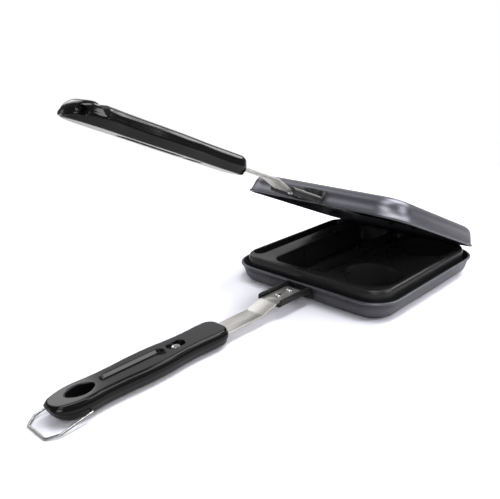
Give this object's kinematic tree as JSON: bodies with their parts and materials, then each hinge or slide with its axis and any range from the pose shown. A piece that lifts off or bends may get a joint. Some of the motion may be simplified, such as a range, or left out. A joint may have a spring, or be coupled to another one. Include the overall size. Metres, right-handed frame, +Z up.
{
  "type": "pie iron",
  "caption": "Two-sided hinged pan for hot sandwiches: deep lower and shallow upper non-stick plates in metal shells, long black grips and a wire latch.",
  "frame": {"origin": "middle of the flat base of the lower pan, on the table", "axes": "+X across the pan to the side of the two round bowls, +Y from the handles to the hinge, +Z up"},
  "size_m": [0.1414, 0.3587, 0.1603],
  "materials": {
    "shell": "satin bluish grey coating",
    "nonstick": "black non-stick coating, satin",
    "bracket": "black enamel",
    "strap": "brushed lengthways",
    "grip": "glossy black moulding",
    "screw": "plated steel",
    "rivet": "bright steel",
    "wire": "bright steel wire"
  },
  "bodies": {
    "lower_pan": {"lower_shell": "shell", "lower_cooking_plate": "nonstick", "lower_plate_screws": "screw", "lower_bracket": "bracket", "lower_strap": "strap", "lower_handle": "grip", "lower_handle_screw": "screw", "lower_hinge_leaf": "bracket", "lower_rivets": "rivet", "hinge_pin": "rivet"},
    "upper_pan": {"upper_shell": "shell", "upper_cooking_plate": "nonstick", "upper_plate_screws": "screw", "upper_bracket": "bracket", "upper_strap": "strap", "upper_handle": "grip", "upper_handle_screw": "screw", "upper_hinge_leaf": "bracket", "upper_rivets": "rivet"},
    "latch": {"wire_latch": "wire"}
  },
  "joints": [
    {"name": "lid_hinge", "type": "hinge", "parent": "lower_pan", "child": "upper_pan", "pos_m": [0, 0.0749, 0.015], "axis": [-1, 0, 0], "range_deg": [-23.1, 156.9]},
    {"name": "latch_pivot", "type": "hinge", "parent": "lower_pan", "child": "latch", "pos_m": [0, -0.2544, 0.0056], "axis": [-1, 0, 0], "range_deg": [0, 168]}
  ]
}
